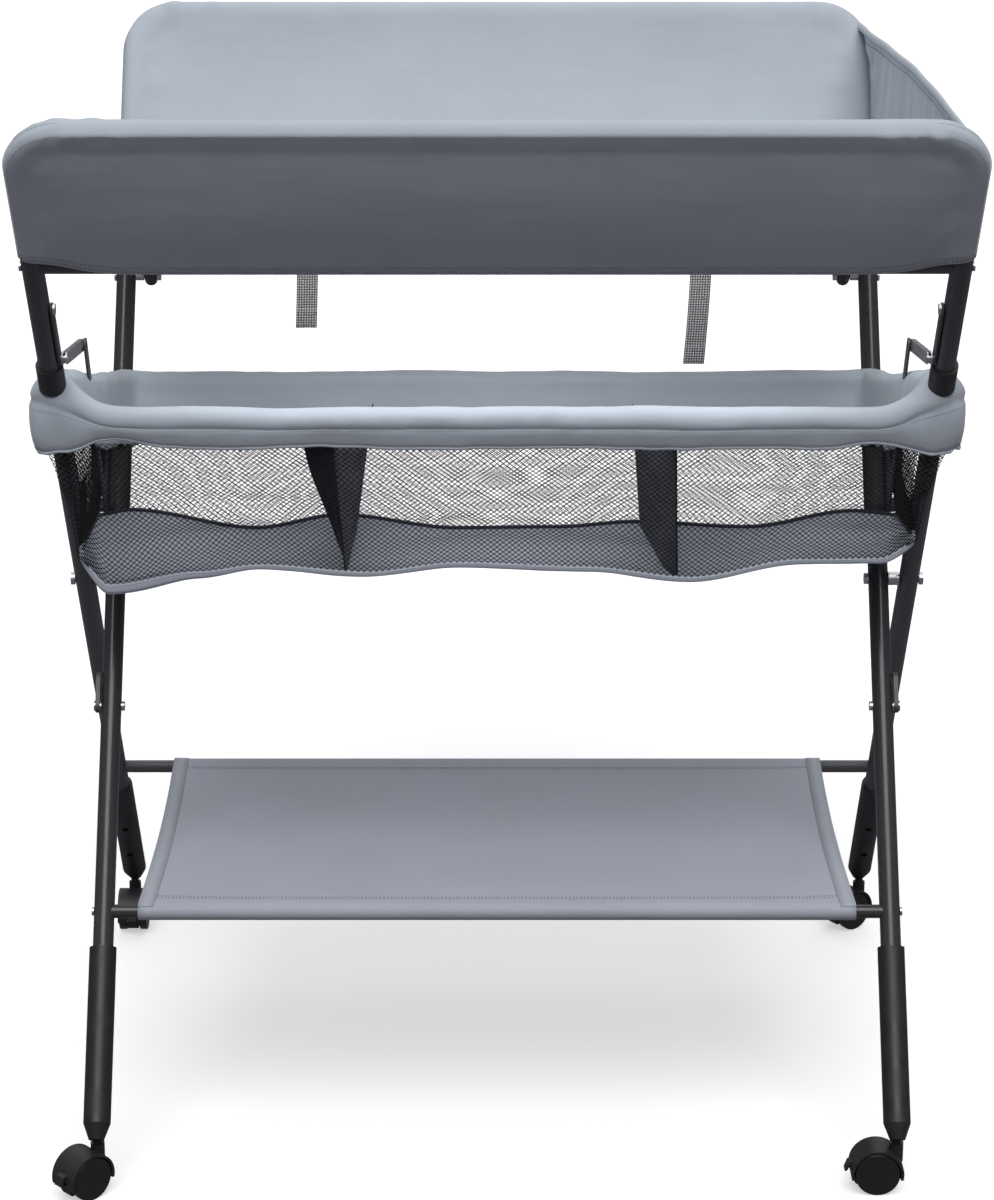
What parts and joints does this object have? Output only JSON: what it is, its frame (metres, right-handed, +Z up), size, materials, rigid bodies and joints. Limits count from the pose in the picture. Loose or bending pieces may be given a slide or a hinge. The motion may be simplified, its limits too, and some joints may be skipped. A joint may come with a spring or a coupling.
{
  "type": "changing table",
  "caption": "Folding changing table: crossed tube legs on locking twin-wheel casters, a padded fabric tray, a divided net basket and a cloth shelf.",
  "frame": {"origin": "on the floor, under the scissor pivot, at the middle of the bounding box's base", "axes": "+Z up, +Y towards the rear wall, +X towards the closed end of the tray"},
  "size_m": [0.818, 0.7104, 0.9953],
  "materials": {
    "black_gloss_tube": "gloss black powder coat",
    "charcoal_tube": "satin charcoal coat",
    "zinc_steel": "zinc-plated",
    "black_plastic": "moulded, satin",
    "wheel_plastic": "smooth",
    "black_steel": "black plate",
    "grey_fabric": "polyester weave",
    "mat_fabric": "padded, quilted cover",
    "shelf_fabric": "polyester weave",
    "navy_fabric": "polyester weave",
    "black_net": "open diamond net",
    "grey_webbing": "woven webbing"
  },
  "bodies": {
    "inner_frame": {"inner_leg_left": "black_gloss_tube", "inner_leg_right": "black_gloss_tube", "rear_top_rail": "black_gloss_tube", "front_lower_bar": "black_gloss_tube", "rear_deck_rail": "black_gloss_tube", "basket_rear_rail": "black_gloss_tube", "frame_bolts": "zinc_steel", "bolt_spacers": "zinc_steel", "rear_wall": "grey_fabric", "tray_floor": "grey_fabric", "changing_mat": "mat_fabric", "head_end_wall": "grey_fabric", "bottom_shelf": "shelf_fabric", "basket_rear_panel": "black_net", "basket_side_left": "black_net", "basket_side_right": "black_net", "basket_floor": "shelf_fabric", "basket_divider_left": "navy_fabric", "basket_divider_right": "navy_fabric", "storage_strap_left": "grey_webbing", "storage_strap_right": "grey_webbing"},
    "outer_frame": {"outer_leg_left": "charcoal_tube", "outer_leg_right": "charcoal_tube", "front_top_frame": "charcoal_tube", "frame_collars": "black_plastic", "rear_lower_bar": "charcoal_tube", "front_deck_rail": "charcoal_tube", "basket_front_rail": "charcoal_tube", "brace_brackets": "black_steel", "frame_pins": "zinc_steel", "front_wall": "grey_fabric", "basket_front_panel": "black_net"},
    "brace_arm_left": {"brace_arm_left": "zinc_steel"},
    "brace_link_left": {"brace_link_left": "black_steel"},
    "brace_arm_right": {"brace_arm_right": "zinc_steel"},
    "brace_link_right": {"brace_link_right": "black_steel"},
    "deck_bail": {"deck_bail": "black_gloss_tube"},
    "latch_hook_left": {"latch_hook_left": "black_steel"},
    "latch_hook_right": {"latch_hook_right": "black_steel"},
    "foot_front_left": {"leg_sleeve_front_left": "black_plastic"},
    "button_front_left": {"height_button_front_left": "black_plastic"},
    "caster_front_left": {"caster_hood_front_left": "black_plastic"},
    "wheels_front_left": {"caster_wheels_front_left": "wheel_plastic"},
    "brake_front_left": {"brake_lever_front_left": "black_plastic"},
    "foot_front_right": {"leg_sleeve_front_right": "black_plastic"},
    "button_front_right": {"height_button_front_right": "black_plastic"},
    "caster_front_right": {"caster_hood_front_right": "black_plastic"},
    "wheels_front_right": {"caster_wheels_front_right": "wheel_plastic"},
    "brake_front_right": {"brake_lever_front_right": "black_plastic"},
    "foot_rear_left": {"leg_sleeve_rear_left": "black_plastic"},
    "button_rear_left": {"height_button_rear_left": "black_plastic"},
    "caster_rear_left": {"caster_hood_rear_left": "black_plastic"},
    "wheels_rear_left": {"caster_wheels_rear_left": "wheel_plastic"},
    "brake_rear_left": {"brake_lever_rear_left": "black_plastic"},
    "foot_rear_right": {"leg_sleeve_rear_right": "black_plastic"},
    "button_rear_right": {"height_button_rear_right": "black_plastic"},
    "caster_rear_right": {"caster_hood_rear_right": "black_plastic"},
    "wheels_rear_right": {"caster_wheels_rear_right": "wheel_plastic"},
    "brake_rear_right": {"brake_lever_rear_right": "black_plastic"}
  },
  "joints": [
    {"name": "frame_fold", "type": "hinge", "parent": "inner_frame", "child": "outer_frame", "pos_m": [0, 0, 0.491], "axis": [-1, 0, 0], "range_deg": [0, 59], "deforming": ["tray_floor", "changing_mat", "head_end_wall", "bottom_shelf", "basket_rear_panel", "basket_front_panel", "basket_side_left", "basket_side_right", "basket_floor", "basket_divider_left", "basket_divider_right", "storage_strap_left", "storage_strap_right"]},
    {"name": "brace_arm_left_pivot", "type": "hinge", "parent": "outer_frame", "child": "brace_arm_left", "pos_m": [-0.383, -0.18263, 0.75377], "axis": [1, 0, 0], "range_deg": [0, 19.2]},
    {"name": "brace_link_left_pivot", "type": "hinge", "parent": "inner_frame", "child": "brace_link_left", "pos_m": [-0.3755, 0.03424, 0.54027], "axis": [-1, 0, 0], "range_deg": [0, 76.4]},
    {"name": "brace_arm_right_pivot", "type": "hinge", "parent": "outer_frame", "child": "brace_arm_right", "pos_m": [0.383, -0.18263, 0.75377], "axis": [1, 0, 0], "range_deg": [0, 19.2]},
    {"name": "brace_link_right_pivot", "type": "hinge", "parent": "inner_frame", "child": "brace_link_right", "pos_m": [0.3755, 0.03424, 0.54027], "axis": [-1, 0, 0], "range_deg": [0, 76.4]},
    {"name": "deck_bail_pivot", "type": "hinge", "parent": "inner_frame", "child": "deck_bail", "pos_m": [0, 0.17749, 0.74638], "axis": [-1, 0, 0], "range_deg": [0, 71.2]},
    {"name": "latch_hook_left_pivot", "type": "hinge", "parent": "inner_frame", "child": "latch_hook_left", "pos_m": [-0.3775, -0.07191, 0.38754], "axis": [-1, 0, 0], "range_deg": [0, 52.3]},
    {"name": "latch_hook_right_pivot", "type": "hinge", "parent": "inner_frame", "child": "latch_hook_right", "pos_m": [0.3775, -0.07191, 0.38754], "axis": [-1, 0, 0], "range_deg": [0, 52.3]},
    {"name": "height_front_left", "type": "slide", "parent": "inner_frame", "child": "foot_front_left", "axis": [0, 0.5707, 0.8211], "range_m": [-0.025, 0.025]},
    {"name": "button_front_left", "type": "slide", "parent": "foot_front_left", "child": "button_front_left", "axis": [0, -0.8211, 0.5707], "range_m": [0, 0.0025], "stiffness_N_per_m": 400},
    {"name": "swivel_front_left", "type": "hinge", "parent": "foot_front_left", "child": "caster_front_left", "pos_m": [-0.36475, -0.29791, 0.06], "axis": [0, 0, 1], "continuous": true},
    {"name": "wheels_front_left_spin", "type": "hinge", "parent": "caster_front_left", "child": "wheels_front_left", "pos_m": [-0.37712, -0.31029, 0.0205], "axis": [0.7071, -0.7071, 0], "continuous": true},
    {"name": "brake_front_left_pivot", "type": "hinge", "parent": "caster_front_left", "child": "brake_front_left", "pos_m": [-0.39105, -0.32422, 0.0277], "axis": [0.7071, -0.7071, 0], "range_deg": [0, 20]},
    {"name": "height_front_right", "type": "slide", "parent": "inner_frame", "child": "foot_front_right", "axis": [0, 0.5707, 0.8211], "range_m": [-0.025, 0.025]},
    {"name": "button_front_right", "type": "slide", "parent": "foot_front_right", "child": "button_front_right", "axis": [0, -0.8211, 0.5707], "range_m": [0, 0.0025], "stiffness_N_per_m": 400},
    {"name": "swivel_front_right", "type": "hinge", "parent": "foot_front_right", "child": "caster_front_right", "pos_m": [0.36475, -0.29791, 0.06], "axis": [0, 0, 1], "continuous": true},
    {"name": "wheels_front_right_spin", "type": "hinge", "parent": "caster_front_right", "child": "wheels_front_right", "pos_m": [0.34725, -0.29791, 0.0205], "axis": [0, -1, 0], "continuous": true},
    {"name": "brake_front_right_pivot", "type": "hinge", "parent": "caster_front_right", "child": "brake_front_right", "pos_m": [0.32755, -0.29791, 0.0277], "axis": [0, -1, 0], "range_deg": [0, 20]},
    {"name": "height_rear_left", "type": "slide", "parent": "outer_frame", "child": "foot_rear_left", "axis": [0, -0.5707, 0.8211], "range_m": [-0.025, 0.025]},
    {"name": "button_rear_left", "type": "slide", "parent": "foot_rear_left", "child": "button_rear_left", "axis": [0, 0.8211, 0.5707], "range_m": [0, 0.0025], "stiffness_N_per_m": 400},
    {"name": "swivel_rear_left", "type": "hinge", "parent": "foot_rear_left", "child": "caster_rear_left", "pos_m": [-0.394, 0.29791, 0.06], "axis": [0, 0, 1], "continuous": true},
    {"name": "wheels_rear_left_spin", "type": "hinge", "parent": "caster_rear_left", "child": "wheels_rear_left", "pos_m": [-0.394, 0.28041, 0.0205], "axis": [1, 0, 0], "continuous": true},
    {"name": "brake_rear_left_pivot", "type": "hinge", "parent": "caster_rear_left", "child": "brake_rear_left", "pos_m": [-0.394, 0.26071, 0.0277], "axis": [1, 0, 0], "range_deg": [0, 20]},
    {"name": "height_rear_right", "type": "slide", "parent": "outer_frame", "child": "foot_rear_right", "axis": [0, -0.5707, 0.8211], "range_m": [-0.025, 0.025]},
    {"name": "button_rear_right", "type": "slide", "parent": "foot_rear_right", "child": "button_rear_right", "axis": [0, 0.8211, 0.5707], "range_m": [0, 0.0025], "stiffness_N_per_m": 400},
    {"name": "swivel_rear_right", "type": "hinge", "parent": "foot_rear_right", "child": "caster_rear_right", "pos_m": [0.394, 0.29791, 0.06], "axis": [0, 0, 1], "continuous": true},
    {"name": "wheels_rear_right_spin", "type": "hinge", "parent": "caster_rear_right", "child": "wheels_rear_right", "pos_m": [0.38002, 0.28738, 0.0205], "axis": [0.6018, -0.7986, 0], "continuous": true},
    {"name": "brake_rear_right_pivot", "type": "hinge", "parent": "caster_rear_right", "child": "brake_rear_right", "pos_m": [0.36429, 0.27552, 0.0277], "axis": [0.6018, -0.7986, 0], "range_deg": [0, 20]}
  ],
  "couplings": [
    {"joint": "brace_arm_left_pivot", "follows": "frame_fold", "ratio": 0.309},
    {"joint": "brace_link_left_pivot", "follows": "frame_fold", "ratio": 1.278},
    {"joint": "brace_arm_right_pivot", "follows": "frame_fold", "ratio": 0.309},
    {"joint": "brace_link_right_pivot", "follows": "frame_fold", "ratio": 1.278},
    {"joint": "deck_bail_pivot", "follows": "frame_fold", "ratio": 1.19}
  ]
}
